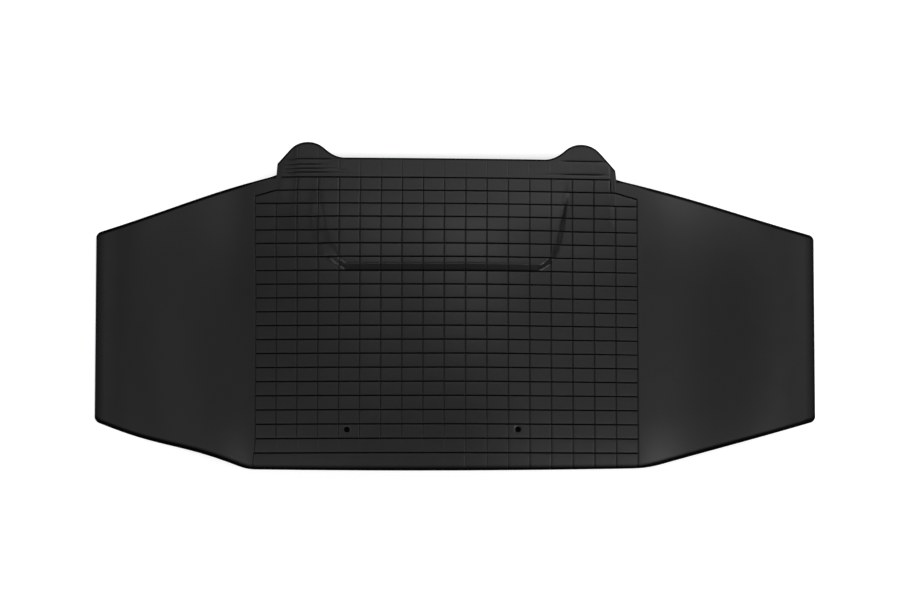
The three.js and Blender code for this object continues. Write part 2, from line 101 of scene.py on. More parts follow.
# Grooves, with round lips and a round bottom; those along the mat are shallower, faint on the back
# flap, and faint in the left columns up to one of the lines near the front
GROOVE_DEPTH = 0.0011
GROOVE_PROFILE = ((0.0, 1.0), (0.00038, 0.82), (0.0007, 0.14), (0.00105, 0.0))
GROOVE_FADE = 0.0015
COLUMN_GROOVE_SHARE = 0.55
FLAP_GROOVE_SHARE = 0.14
FAINT_COLUMNS = 9
FAINT_COLUMNS_SHARE = 0.06
FAINT_COLUMNS_LINE = 2
FAINT_COLUMNS_RUN = 0.006
CLOSING = "closing"
CREASE = "crease"
CREASE_PROFILE = ((0.0, 1.0), (0.0005, 0.6), (0.0011, 0.0))
CREASE_DEPTH = 0.0009

# Back flap with its two ears
FLAP_DEPTH = 0.020
LEFT_EAR_ROOT = 0.0155
RIGHT_EAR_ROOT = 0.014
EAR_HEIGHT = 0.0156
EAR_RADIUS = 0.0237
EAR_OUTER_SLOPE = 1.13
EAR_INNER_SLOPE = 0.9
EAR_BLEND = 0.0087
LEFT_EAR_PEAK = 0.050
RIGHT_EAR_PEAK = 0.0542
EAR_STEP = 0.0012
CLOSING_GROOVE_GAP = 0.0046
LAST_LINE_START = 0.0025
LAST_LINE_SHARE = 0.55

# Creases over the ears: how far each lies behind the last groove line, how far it runs inwards
# from the left and the right ear's outer side, and how long it takes to die away
CREASES = (
    {"behind": 0.0049, "left_run": 0.085, "right_run": 0.080, "fade": 0.050},
    {"behind": 0.0088, "left_run": 0.075, "right_run": 0.0, "fade": 0.045},
    {"behind": 0.0129, "left_run": 0.055, "right_run": 0.0, "fade": 0.020},
    {"behind": 0.0183, "left_run": 0.060, "right_run": 0.052, "fade": 0.010},
)
CREASE_START = 0.012
CREASE_MARGIN = 0.0017

# Raised pad at the back of the field, which dies away behind one of the lines
PAD_RISE = 0.004
PAD_FRONT_LINE = 14
PAD_FRONT_SLOPE = 0.0065
PAD_FADE_LINE = 17
PAD_LEFT_INSET = 0.0585
PAD_LEFT_SLOPE = 0.014
PAD_LEFT_CORNER = 0.036
PAD_LEFT_CORNER_REACH = 0.018
PAD_RIGHT_INSET = 0.0635
PAD_RIGHT_SLOPE = 0.0036
PAD_RIGHT_LEAN = 0.17
PAD_RIGHT_CORNER = 0.020
PAD_RIGHT_CORNER_REACH = 0.010

# Brink, a shallow line behind the pad's front slope, and the painted shade on the brink and on the right
# crest
BRINK_BEHIND = 0.0068
BRINK_HALF_WIDTH = 0.0006
BRINK_DEPTH = 0.0004
BRINK_PAINTED_SHADE = 0.7
CREST_PAINTED_SHADE = 0.5

# Raised shoulders beside the ears
SHOULDER_RISE = 0.0025
SHOULDER_REACH = 0.068
LEFT_SHOULDER_SLOPE = 0.020
RIGHT_SHOULDER_SLOPE = 0.006

# Round rim along the upper edge
RIM_WIDTH = 0.0016
WING_RIM_WIDTH = 0.0027
RIM_WIDTH_BLEND = 0.015
RIM_DROP = 0.0024
RIM_SHARES = (0.0, 0.05, 0.18, 0.4, 0.7, 1.0)

# Painted shade along the cut edge, with its reflection dulled: its width at the front and the back in
# widths of the rim, and its reach at the ends
FRONT_EDGE_WIDTHS = 1.9
BACK_EDGE_WIDTHS = 1.7
END_EDGE_REACH = 0.012
END_EDGE_SHARE = 0.38
SLOPE_STEP = 0.0005
STEEPEST = 1.8

# Two round holes near the front edge
HOLE_RADIUS = 0.003
HOLE_FROM_FRONT = 0.0396
LEFT_HOLE_INSET = 0.0894
RIGHT_HOLE_INSET = 0.1171
HOLE_SIDES = 48
HOLE_CUTTER_DEPTH = 0.164
HOLE_LIP_WIDTH = 0.0010
HOLE_LIP_DROP = 0.0002
HOLE_LINES = (0.0, 0.0014, 0.0027, 0.0034, 0.0043, 0.0056)

# Mesh lines, closer together below the ears, at the pad's front and in the tiles that its sides cross
CORNER_STEPS = 6
WING_COLUMNS = 22
WING_GROWTH = 1.15
EAR_TILE_STEPS = 9
TILE_STEPS = 3
PAD_TILE_STEPS = {3: 7, 4: 7, 14: 14}
PAD_ROWS = (0.0018, 0.0028, 0.0038, 0.0048, 0.0058, 0.0062, 0.0068, 0.0074, 0.009)
EAR_TILES = 5
ROW_STEPS = 2
EAR_ROWS = 6
UNDERSIDE_LINE_EVERY = 12
CLOSEST_LINES = 0.00006
CLOSEST_PLAIN_LINES = 0.0006
SHARP_ANGLE = 50.0

# Rubber
RUBBER_COLOUR = (0.0096, 0.0097, 0.0100)
RUBBER_SPECULAR = 0.37
RUBBER_ROUGHNESS = (0.325, 0.345)
NOISE_RANGE = (0.3, 0.7)
MOTTLE_SCALE = 30.0
MOTTLE_DETAIL = 4.0
TONE_CHANGE = 0.03
SPOT_SCALE = 90.0
SPOT_DETAIL = 3.0
# Painted shade in the grooves, creases, brink and right crest: how dark the colour and the reflection get,
# and at which share it is full
GROOVE_PAINTED_SHADE = 0.22
GROOVE_FULL = 0.85
# Painted shade along the cut edge: how dark the colour gets and how much of the reflection is left
EDGE_PAINTED_SHADE = 0.12
EDGE_SPECULAR_SHARE = 0.04
EDGE_FROM = 0.1
EDGE_FULL = 0.45
GRAIN_SCALE = 1800.0
GRAIN_DETAIL = 3.0
GRAIN_HEIGHT = 0.00006
GRAIN_STRENGTH = 0.25

# Floor and light
FLOOR_SIZE = 12.0
FLOOR_TONE = 0.86
FLOOR_GLOW = 0.6
FLOOR_GAP = 0.0001
# Painted shadow: the floor's colour in a dark box under the arch, with its half sizes and soft edge
PAINTED_FLOOR_SHADOW = 0.1
PAINTED_SHADOW_HALF_SIZE = (0.150, 0.157)
PAINTED_SHADOW_EDGE = (0.8, 1.0)
WORLD_LEVEL = 0.03
LAMP_DISTANCE = 2.5
# Each lamp's angles from straight up, towards +X and towards +Y, its size and its power
LAMPS = (
    ("front_left", (-30.0, -22.0), 1.1, 11.0),
    ("front_right", (29.5, -22.0), 1.1, 22.0),
    ("left", (-39.0, 21.0), 0.8, 2.6),
    ("overhead", (2.0, 12.0), 0.9, 3.0),
    ("overhead_back", (0.0, 26.0), 0.7, 2.8),
    ("back_right", (39.0, 36.0), 1.1, 22.5),
    ("far_left", (-60.0, 0.0), 1.0, 2.8),
    ("back", (0.0, 58.0), 1.0, 10.0),
)

# Photograph's view
CAMERA_ELEVATION = 84.0
CAMERA_DISTANCE = 4.0
CAMERA_TARGET = (0.0050, -0.0005, 0.030)
SENSOR_WIDTH_MM = 36.0
SCALE_PER_PIXEL = 0.000978
PHOTO_WIDTH = 920


def ramp(distance, width):
    return np.clip(distance / width, 0.0, 1.0)


def smooth_ramp(distance, width):
    share = ramp(distance, width)
    return share * share * (3.0 - 2.0 * share)


def smooth_max(a, b, rounding):
    near = np.maximum(0.0, rounding - np.abs(a - b))
    return np.maximum(a, b) + near**2 / (4.0 * rounding)


def blend(a, b, share):
    return a + (b - a) * share


def sum_of_pitches(count, first, last, total):
    """Width of the first tiles of a row in which the pitch changes evenly."""
    return count * first + (last - first) * count * (count - 1) / (2 * (total - 1))


# Main lines of the plan
field_width = sum_of_pitches(TILE_COLUMNS, COLUMN_PITCH_LEFT, COLUMN_PITCH_RIGHT, TILE_COLUMNS)
lines_depth = sum_of_pitches(TILE_ROWS, ROW_PITCH_FRONT, ROW_PITCH_BACK, TILE_ROWS)
whole_width = LEFT_WING + field_width + RIGHT_WING
left_end = -whole_width / 2
right_end = whole_width / 2
left_border = left_end + LEFT_WING
right_border = right_end - RIGHT_WING
field_middle = (left_border + right_border) / 2
body_depth = FRONT_STRIP + lines_depth + FLAP_DEPTH
front_y = -(body_depth + EAR_HEIGHT) / 2
back_y = front_y + body_depth
middle_y = (front_y + back_y) / 2
end_front_y = front_y + END_SETBACK
end_back_y = end_front_y + END_DEPTH
left_root_x = left_border + COLUMN_PITCH_LEFT
right_root_x = right_border - COLUMN_PITCH_RIGHT
closing_x = right_root_x - CLOSING_GROOVE_GAP
border_line = TILE_ROWS
last_line = TILE_ROWS + 1
hole_places = (left_border + LEFT_HOLE_INSET, right_border - RIGHT_HOLE_INSET)
hole_y = front_y + HOLE_FROM_FRONT
groove_reach = GROOVE_PROFILE[-1][0]
crease_reach = CREASE_PROFILE[-1][0]


def skew(x, y):
    """How far a line that runs across is off its straight course, which grows towards the back."""
    across = np.clip((x - field_middle) / field_width, -0.5, 0.5)
    along = np.clip((y - front_y) / body_depth, 0.0, 1.0)
    return -BACK_SKEW * across * along


def line_y(number, x):
    """Middle of a groove that runs across the field, counted from the front."""
    y = front_y + FRONT_STRIP + sum_of_pitches(number - 1, ROW_PITCH_FRONT, ROW_PITCH_BACK, TILE_ROWS)
    return y + skew(x, y)


def drift(x, y):
    """How far the lines near the left border lean outwards, at the back and at the front corner."""
    aside = np.abs(x - left_border)
    at_back = smooth_ramp(y - line_y(LEFT_DRIFT_LINE, x), LEFT_DRIFT_RUN)
    at_back = at_back * smooth_ramp(line_y(last_line, x) - y, ROW_PITCH_BACK)
    at_front = smooth_ramp(line_y(LEFT_FLARE_LINE, x) - y, LEFT_FLARE_RUN)
    lean = LEFT_DRIFT * at_back * (1.0 - ramp(aside, LEFT_DRIFT_REACH))
    return -lean - LEFT_FLARE * at_front * (1.0 - ramp(aside, LEFT_FLARE_REACH))


def border_line_y(x):
    """The back border of the field, which turns down over the outer tiles."""
    from_left = (x - left_border) / COLUMN_PITCH_LEFT
    from_right = (right_border - x) / COLUMN_PITCH_RIGHT
    inside = np.clip(np.minimum(from_left, from_right), 0.0, 1.0)
    return line_y(border_line, x) - CHAMFER_DROP * (1.0 - inside)


def from_ends(x):
    return np.minimum(x - left_end, right_end - x)


def corner_setback(x):
    """How far the outline draws back at the round corners of the wings' ends."""
    inside = np.clip(END_CORNER_RADIUS - from_ends(x), 0.0, END_CORNER_RADIUS)
    return END_CORNER_RADIUS - np.sqrt(END_CORNER_RADIUS**2 - inside**2)


def front_edge_y(x):
    """The front outline: the field's bowed edge between the slanting edges of the wings."""
    left = x < field_middle
    end = np.where(left, left_end, right_end)
    knee = np.where(left, left_border - KNEE_INSET, right_border + KNEE_INSET)
    along = (x - end) / (knee - end)
    wave = np.where(left, LEFT_WING_WAVE * np.sin(2.0 * np.pi * np.clip(along, 0.0, 1.0)), 0.0)
    across = np.clip(2.0 * (x - field_middle) / field_width, -1.0, 1.0)
    field_edge = front_y + FRONT_BOW * across**2 + FRONT_SKEW * across
    wing_edge = blend(end_front_y, field_edge, along) - wave
    return smooth_max(wing_edge, field_edge, KNEE_ROUNDING) + corner_setback(x)


def ear_y(x, peak_x, slope):
    """One ear: a round top between two straight flanks."""
    aside = np.abs(x - peak_x)
    tangent = EAR_RADIUS * np.sin(np.arctan(slope))
    rounded = EAR_RADIUS - np.sqrt(EAR_RADIUS**2 - np.minimum(aside, tangent) ** 2)
    return back_y + EAR_HEIGHT - rounded - np.maximum(0.0, aside - tangent) * slope


def flap_edge_y(x):
    """The back outline of the flap, with its two ears."""
    left_peak = left_border + LEFT_EAR_PEAK
    right_peak = right_border - RIGHT_EAR_PEAK
    nearer = np.where(x < field_middle, left_peak, right_peak)
    outside = (x < left_peak) | (x > right_peak)
    ear = ear_y(x, nearer, np.where(outside, EAR_OUTER_SLOPE, EAR_INNER_SLOPE))
    return np.where(outside, ear, smooth_max(back_y, ear, EAR_BLEND)) + skew(x, back_y)


def wing_back_y(x):
    """The back outline of the wings, from their ends to the roots of the ears."""
    left = x < field_middle
    end = np.where(left, left_end, right_end)
    root_x = np.where(left, left_root_x, right_root_x)
    root_y = line_y(border_line, root_x) + np.where(left, LEFT_EAR_ROOT, RIGHT_EAR_ROOT)
    along = (x - end) / (root_x - end)
    bow = WING_BACK_BOW * np.sin(np.pi * np.clip(along, 0.0, 1.0))
    return blend(end_back_y + skew(end, end_back_y), root_y, along) + bow - corner_setback(x)


def back_edge_y(x):
    """The whole back outline, with a step where the wings meet the ears."""
    into_flap = smooth_ramp(np.minimum(x - left_root_x, right_root_x - x) + EAR_STEP, EAR_STEP)
    return blend(wing_back_y(x), flap_edge_y(x), into_flap)


def rim_width(x):
    outside = np.maximum(left_border - x, x - right_border)
    return blend(RIM_WIDTH, WING_RIM_WIDTH, ramp(outside, RIM_WIDTH_BLEND))


def last_line_y(x):
    """The groove in front of the flap, closer to the border where there is little room."""
    room = back_edge_y(x) - rim_width(x) - border_line_y(x)
    return border_line_y(x) + np.minimum(ROW_PITCH_BACK, room * LAST_LINE_SHARE)


def groove_line_y(number, x):
    if number == border_line:
        return border_line_y(x)
    if number == last_line:
        return last_line_y(x)
    return line_y(number, x)


def behind_foot(x, y):
    """How far a point lies behind the foot of the pad's front slope."""
    return y - line_y(PAD_FRONT_LINE, x)


def inside_right_foot(x, y):
    """How far a point lies inside the foot of the pad's right slope."""
    past_foot = np.maximum(0.0, behind_foot(x, y))
    corner = PAD_RIGHT_CORNER * np.exp(-past_foot / PAD_RIGHT_CORNER_REACH)
    lean = PAD_RIGHT_LEAN * (line_y(last_line, x) - y)
    return right_border - PAD_RIGHT_INSET - corner - lean - x


def pad_sides(x, y):
    """How far up the pad's left and right slopes a point lies, from 0 to 1."""
    past_foot = np.maximum(0.0, behind_foot(x, y))
    corner = PAD_LEFT_CORNER * np.exp(-past_foot / PAD_LEFT_CORNER_REACH)
    inside_left_foot = x - (left_border + PAD_LEFT_INSET + corner) + PAD_LEFT_SLOPE / 2
    left = smooth_ramp(inside_left_foot, PAD_LEFT_SLOPE)
    return np.minimum(left, ramp(inside_right_foot(x, y), PAD_RIGHT_SLOPE))


def brink(x, y):
    """The shallow line just behind the pad's front slope, from 0 to 1."""
    off_line = np.abs(behind_foot(x, y) - BRINK_BEHIND)
    return pad_sides(x, y) * (1.0 - ramp(off_line, BRINK_HALF_WIDTH))


def right_crest_painted_shade(x, y):
    """Where shade is painted near the crest of the pad's right slope, where the slope dies away, from 0 to
    1.
    """
    across = 1.0 - ramp(np.abs(inside_right_foot(x, y) - PAD_RIGHT_SLOPE), PAD_RIGHT_SLOPE)
    before = ramp(y - line_y(PAD_FADE_LINE, x), ROW_PITCH_BACK)
    return across * before * ramp(line_y(last_line, x) - y, ROW_PITCH_BACK)


def pad_height(x, y):
    front = ramp(behind_foot(x, y), PAD_FRONT_SLOPE)
    fade_y = line_y(PAD_FADE_LINE, x)
    faded = smooth_ramp(y - fade_y, line_y(last_line, x) - fade_y)
    height = PAD_RISE * np.minimum(front, pad_sides(x, y)) * (1.0 - faded)
    return height - BRINK_DEPTH * brink(x, y)


def shoulder_height(x, y):
    along = smooth_ramp(y - (line_y(last_line, x) - SHOULDER_REACH), SHOULDER_REACH)
    left = smooth_ramp(x - left_root_x, LEFT_SHOULDER_SLOPE)
    right = ramp(right_root_x - x, RIGHT_SHOULDER_SLOPE)
    return SHOULDER_RISE * along * np.minimum(left, right)


def border_level(y):
    """Height of the field's borders, which sink towards the front and the back."""
    into_front = np.maximum(0.0, front_y + FRONT_FALL_REACH - y) / FRONT_FALL_REACH
    into_back = np.maximum(0.0, y - (back_y - BACK_FALL_REACH)) / BACK_FALL_REACH
    return BORDER_HEIGHT - FRONT_FALL * into_front**2 - BACK_FALL * into_back**2


def off_middle(y):
    """0 halfway between the front and back edges, -1 and 1 at the edges."""
    return np.clip(2.0 * (y - middle_y) / body_depth, -1.0, 1.0)


def crown(y):
    return blend(CROWN_RISE, CROWN_RISE_AT_EDGES, off_middle(y) ** 2)


def ridge(x, y):
    """The soft ridge along the arch, a little to the right of the field's middle."""
    aside = ramp(np.abs(x - field_middle - RIDGE_ASIDE), RIDGE_HALF_WIDTH)
    return RIDGE_RISE * 0.5 * (1.0 + np.cos(np.pi * aside)) * (1.0 - off_middle(y) ** 2)


def wing_level(x, y):
    """Height of the wings, which leave the arch at its slope and land flat at their ends."""
    left = x < field_middle
    border = np.where(left, left_border, right_border)
    run = np.where(left, LEFT_WING, RIGHT_WING) - LANDING
    share = np.clip(np.abs(x - border) / run, 0.0, 1.0)
    slope = -4.0 * crown(y) / field_width
    start = (1.0 + 2.0 * share) * (1.0 - share) ** 2 * border_level(y)
    turn = share * (1.0 - share) ** 2 * run * slope
    finish = share**2 * (3.0 - 2.0 * share) * SHEET_THICKNESS
    middle = (front_edge_y(x) + back_edge_y(x)) / 2
    across = np.clip((y - middle) / (back_edge_y(x) - middle), -1.0, 1.0)
    bulge = WING_BULGE * (4.0 * share * (1.0 - share)) ** 2 * (1.0 - across**2)
    return start + turn + finish + bulge


def sheet_level(x, y):
    """Height of the sheet's upper face, without grooves and rim."""
    across = 2.0 * (x - field_middle) / field_width
    arch = border_level(y) + crown(y) * (1.0 - across**2) + ridge(x, y)
    field = arch + pad_height(x, y) + shoulder_height(x, y)
    return np.where((x < left_border) | (x > right_border), wing_level(x, y), field)


def steepness(edge_y, x):
    """How much longer a distance along Y is than the distance straight in from a sloping edge."""
    slope = (edge_y(x + SLOPE_STEP) - edge_y(x - SLOPE_STEP)) / (2.0 * SLOPE_STEP)
    return np.sqrt(1.0 + slope**2)


def painted_edge_shade(x, y):
    """How much shade is painted at a point along the cut edge, where the reflection is dulled too: 1 on
    the outline, 0 farther in.
    """
    front = 1.0 - ramp(y - front_edge_y(x), FRONT_EDGE_WIDTHS * rim_width(x))
    back_reach = BACK_EDGE_WIDTHS * rim_width(x) * np.minimum(steepness(back_edge_y, x), STEEPEST)
    back = 1.0 - ramp(back_edge_y(x) - y, back_reach)
    ends = END_EDGE_SHARE * (1.0 - ramp(from_ends(x), END_EDGE_REACH))
    return np.maximum(np.maximum(front, back), ends)


def rim_loss(x, y):
    """How much lower the round rim is than the flat face."""
    from_edges = np.minimum(y - front_edge_y(x), back_edge_y(x) - y)
    share = 1.0 - ramp(np.minimum(from_ends(x), from_edges), rim_width(x))
    return RIM_DROP * (1.0 - np.sqrt(np.maximum(0.0, 1.0 - share**2)))


def hole_lip_loss(x, y):
    loss = 0.0
    for hole_x in hole_places:
        outside = np.hypot(x - hole_x, y - hole_y) - HOLE_RADIUS
        loss = loss + HOLE_LIP_DROP * (1.0 - ramp(outside, HOLE_LIP_WIDTH)) ** 2
    return loss


def mirrored(profile):
    """A groove's profile on both sides of its middle, as pairs of distance and share of depth."""
    before = [(-distance, share) for distance, share in reversed(profile[1:])]
    return before + list(profile)


def groove_columns():
    return [
        left_border + sum_of_pitches(number, COLUMN_PITCH_LEFT, COLUMN_PITCH_RIGHT, TILE_COLUMNS)
        for number in range(TILE_COLUMNS + 1)
    ]


def without_close_ones(values, gap):
    kept = []
    for value in sorted(values):
        if not kept or value - kept[-1] > gap:
            kept.append(value)
    return kept


def wing_distances(length):
    """Distances of a wing's mesh lines from its end."""
    angles = [step * math.pi / (2 * CORNER_STEPS) for step in range(CORNER_STEPS + 1)]
    corner = [END_CORNER_RADIUS * (1.0 - math.cos(angle)) for angle in angles]
    rim = [WING_RIM_WIDTH * share for share in RIM_SHARES]
    last = length - groove_reach
    room = last - END_CORNER_RADIUS
    run = [last - room * (step / WING_COLUMNS) ** WING_GROWTH for step in range(1, WING_COLUMNS)]
    return without_close_ones(corner + rim + run, CLOSEST_LINES)


def mesh_columns():
    """X of the mesh lines that run along the mat, each with its groove and its share of the depth."""
    grooves = groove_columns()
    columns = [(x + offset, number, share) for number, x in enumerate(grooves)
               for offset, share in mirrored(GROOVE_PROFILE)]
    columns += [(closing_x + offset, CLOSING, share) for offset, share in mirrored(GROOVE_PROFILE)]
    plain = [left_root_x - EAR_STEP, right_root_x + EAR_STEP]
    plain += [x + side * offset for x in hole_places for offset in HOLE_LINES for side in (-1, 1)]
    for number in range(TILE_COLUMNS):
        from_border = min(number, TILE_COLUMNS - 1 - number)
        steps = EAR_TILE_STEPS if 0 < from_border < EAR_TILES else TILE_STEPS
        steps = max(steps, PAD_TILE_STEPS.get(number, 1))
        plain += list(np.linspace(grooves[number], grooves[number + 1], steps + 1)[1:-1])
    taken = [x for x, _, _ in columns]
    for x in plain:
        if min(abs(x - other) for other in taken) > CLOSEST_PLAIN_LINES:
            columns.append((x, None, 0.0))
            taken.append(x)
    columns += [(left_end + distance, None, 0.0) for distance in wing_distances(LEFT_WING)]
    columns += [(right_end - distance, None, 0.0) for distance in wing_distances(RIGHT_WING)]
    return sorted(columns, key=lambda column: column[0])


def plain_rows(before, after, x):
    """Lines between two grooves, closer together where the holes are."""
    middle = np.searchsorted(x, field_middle)
    if before[middle] < hole_y < after[middle]:
        both_sides = [side * offset for offset in HOLE_LINES for side in (-1, 1)]
        offsets = without_close_ones(both_sides, CLOSEST_LINES)
        rows = [hole_y + skew(x, hole_y) + offset for offset in offsets]
        return [row for row in rows if before[middle] < row[middle] < after[middle] - CLOSEST_PLAIN_LINES]
    return [blend(before, after, step / (ROW_STEPS + 1)) for step in range(1, ROW_STEPS + 1)]


def field_rows(x):
    """Y of the mesh lines that run across the field, each with its groove and its share of the depth."""
    rows = []
    before = front_edge_y(x) + rim_width(x)
    for number in range(1, last_line + 1):
        middle = groove_line_y(number, x)
        rows += [(y, None, 0.0) for y in plain_rows(before, middle - groove_reach, x)]
        rows += [(middle + offset, number, share) for offset, share in mirrored(GROOVE_PROFILE)]
        before = middle + groove_reach
        if number == PAD_FRONT_LINE:
            rows += [(middle + offset, None, 0.0) for offset in PAD_ROWS]
            before = middle + PAD_ROWS[-1]
    room = back_edge_y(x) - rim_width(x) - last_line_y(x)
    scale = np.minimum(1.0, room / (CREASES[-1]["behind"] + CREASE_MARGIN))
    for order, crease in enumerate(CREASES):
        middle = last_line_y(x) + crease["behind"] * scale
        rows += [(middle + offset * scale, (CREASE, order), share)
                 for offset, share in mirrored(CREASE_PROFILE)]
        before = middle + crease_reach * scale
    back = back_edge_y(x) - rim_width(x)
    rows += [(blend(before, back, step / EAR_ROWS), None, 0.0) for step in range(1, EAR_ROWS)]
    return rows


def mesh_rows(x):
    """The field's lines carried on over the wings, between the lines of the rim."""
    inside_x = np.clip(x, left_border, right_border)
    front = front_edge_y(x)
    back = back_edge_y(x)
    rim = rim_width(x)
    border_front = front_edge_y(inside_x) + rim_width(inside_x)
    border_back = back_edge_y(inside_x) - rim_width(inside_x)
    rows = [(front + rim * share, None, 0.0) for share in RIM_SHARES]
    for y, groove, depth_share in field_rows(inside_x):
        along = (y - border_front) / (border_back - border_front)
        rows.append((blend(front + rim, back - rim, along), groove, depth_share))
    return rows + [(back - rim * share, None, 0.0) for share in reversed(RIM_SHARES)]


def fade(distance):
    return smooth_ramp(distance, GROOVE_FADE)


def groove_along(number, x, y):
    """How deep a groove that runs along the mat is at y, from 0 to 1."""
    start = COLUMN_GROOVE_SHARE * fade(y - front_edge_y(x))
    if number in range(1, FAINT_COLUMNS + 1):
        inside = y - line_y(FAINT_COLUMNS_LINE, x) + FAINT_COLUMNS_RUN / 2
        start = start * blend(FAINT_COLUMNS_SHARE, 1.0, smooth_ramp(inside, FAINT_COLUMNS_RUN))
    if number == CLOSING:
        return fade(y - border_line_y(x)) * fade(last_line_y(x) - y)
    if number in (0, TILE_COLUMNS):
        return start * fade(border_line_y(x) - y)
    if number in (1, TILE_COLUMNS - 1):
        return start * fade(line_y(border_line - 1, x) - y)
    on_flap = FLAP_GROOVE_SHARE * fade(back_edge_y(x) - rim_width(x) - y)
    whole = np.maximum(fade(last_line_y(x) - y), on_flap)
    return start * whole


def groove_across(number, x):
    """How deep a groove or crease that runs across the mat is at x, from 0 to 1."""
    if number == last_line:
        return fade(x - left_root_x - LAST_LINE_START) * fade(closing_x - x)
    if isinstance(number, int):
        return fade(x - left_border + groove_reach) * fade(right_border - x + groove_reach)
    crease = CREASES[number[1]]
    from_left = x - left_root_x
    from_right = closing_x - x
    start = smooth_ramp(from_left - CREASE_START / 2, CREASE_START) * smooth_ramp(from_right, CREASE_START)
    left = smooth_ramp(crease["left_run"] - from_left, crease["fade"])
    right = smooth_ramp(crease["right_run"] - from_right, crease["fade"])
    return start * np.maximum(left, right)


def groove_depths(columns, rows, x, y):
    """Depth of the grooves and of the creases at each crossing of the mesh lines."""
    depths = np.zeros(y.shape)
    for index, (column_x, number, share) in enumerate(columns):
        if share > 0.0:
            same_x = np.full(len(rows), column_x)
            depths[:, index] = share * GROOVE_DEPTH * groove_along(number, same_x, y[:, index])
    for index, (_, number, share) in enumerate(rows):
        if share > 0.0:
            depth = GROOVE_DEPTH if isinstance(number, int) else CREASE_DEPTH
            depths[index] = np.maximum(depths[index], share * depth * groove_across(number, x))
    return depths


def grid_faces(first, row_count, column_count, upwards):
    faces = []
    for row in range(row_count - 1):
        for column in range(column_count - 1):
            start = first + row * column_count + column
            face = (start, start + 1, start + column_count + 1, start + column_count)
            faces.append(face if upwards else face[::-1])
    return faces


def side_faces(row_count, column_count, under_rows):
    """Faces that close the sheet between its upper face and its sparser lower one."""
    faces = []
    below = row_count * column_count
    last_row = below - column_count
    last_under = below + (len(under_rows) - 1) * column_count
    for column in range(column_count - 1):
        over = last_row + column
        under = last_under + column
        faces.append((below + column, below + column + 1, column + 1, column))
        faces.append((under + 1, under, over, over + 1))
    to_right = column_count - 1
    for order in range(len(under_rows) - 1):
        low, high = under_rows[order], under_rows[order + 1]
        low_under = below + order * column_count
        high_under = low_under + column_count
        left = [row * column_count for row in range(low, high + 1)]
        right = [corner + to_right for corner in reversed(left)]
        faces.append((high_under, low_under, *left))
        faces.append((low_under + to_right, high_under + to_right, *right))
    return faces


def drifted_points(x, y, z):
    return np.stack([x + drift(x, y), y, z], axis=-1).reshape(-1, 3)


def painted_line_shade_share(x, y, depths):
    """How much shade is painted at each point, from 0 to 1, in the grooves and creases, on the brink and
    on the right crest.
    """
    brink_and_crest_shade = np.maximum(BRINK_PAINTED_SHADE * brink(x, y), CREST_PAINTED_SHADE * right_crest_painted_shade(x, y))
    return np.maximum(depths / GROOVE_DEPTH, brink_and_crest_shade)


def sheet_mesh():
    """Points and faces of the whole sheet without its holes, with each point's shares of painted shade in
    the lines and along the cut edge.
    """
    columns = mesh_columns()
    x = np.array([column[0] for column in columns])
    rows = mesh_rows(x)
    y = np.array([row[0] for row in rows])
    depths = groove_depths(columns, rows, x, y)
    flat_x = np.broadcast_to(x, y.shape)
    top = sheet_level(flat_x, y) - rim_loss(flat_x, y) - hole_lip_loss(flat_x, y) - depths
    under_rows = sorted(set(range(0, len(rows), UNDERSIDE_LINE_EVERY)) | {len(rows) - 1})
    under_y = y[under_rows]
    under_x = np.broadcast_to(x, under_y.shape)
    under = sheet_level(under_x, under_y) - SHEET_THICKNESS
    points = np.concatenate([drifted_points(flat_x, y, top), drifted_points(under_x, under_y, under)])
    # The groove attribute carries painted shade in the grooves, creases, brink and right crest
    grooves = np.concatenate([painted_line_shade_share(flat_x, y, depths).ravel(), np.zeros(under.size)])
    # The edge attribute carries painted shade along the cut edge
    edges = np.concatenate([painted_edge_shade(flat_x, y).ravel(), painted_edge_shade(under_x, under_y).ravel()])
    faces = grid_faces(0, len(rows), len(columns), True)
    faces += grid_faces(y.size, len(under_rows), len(columns), False)
    faces += side_faces(len(rows), len(columns), under_rows)
    return points, faces, grooves, edges


def cut_holes(mat, shift):
    """Cuts the two round holes through the sheet."""
    cutters = []
    for x in hole_places:
        place = (x, hole_y + shift, 0.0)
        bpy.ops.mesh.primitive_cylinder_add(
            vertices=HOLE_SIDES, radius=HOLE_RADIUS, depth=HOLE_CUTTER_DEPTH, location=place
        )
        cutter = bpy.context.object
        cutters.append(cutter)
        cut = mat.modifiers.new("hole", "BOOLEAN")
        cut.operation = "DIFFERENCE"
        cut.solver = "EXACT"
        cut.object = cutter
    bpy.context.view_layer.update()
    whole = mat.evaluated_get(bpy.context.evaluated_depsgraph_get())
    cut_mesh = bpy.data.meshes.new_from_object(whole)
    mat.modifiers.clear()
    mat.data = cut_mesh
    for cutter in cutters:
        bpy.data.objects.remove(cutter)


def make_mat():
    """The whole mat as one mesh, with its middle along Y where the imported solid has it."""
    points, faces, grooves, edges = sheet_mesh()
    shift = (cad_low.y + cad_high.y) / 2 - (points[:, 1].min() + points[:, 1].max()) / 2
    points[:, 1] += shift
    mesh = bpy.data.meshes.new("rubber_mat")
    mesh.from_pydata(points.tolist(), [], faces)
    # The groove and edge attributes carry shares of painted shade
    for name, values in (("groove", grooves), ("edge", edges)):
        attribute = mesh.attributes.new(name, "FLOAT", "POINT")
        attribute.data.foreach_set("value", values.astype(np.float32))
    mat = bpy.data.objects.new("rubber_mat", mesh)
    bpy.context.scene.collection.objects.link(mat)
    cut_holes(mat, shift)
    mat.data.polygons.foreach_set("use_smooth", np.ones(len(mat.data.polygons), dtype=bool))
    mat.data.set_sharp_from_angle(angle=math.radians(SHARP_ANGLE))
    flat_tiles = mat.modifiers.new("flat_tiles", "WEIGHTED_NORMAL")
    flat_tiles.keep_sharp = True
    return mat


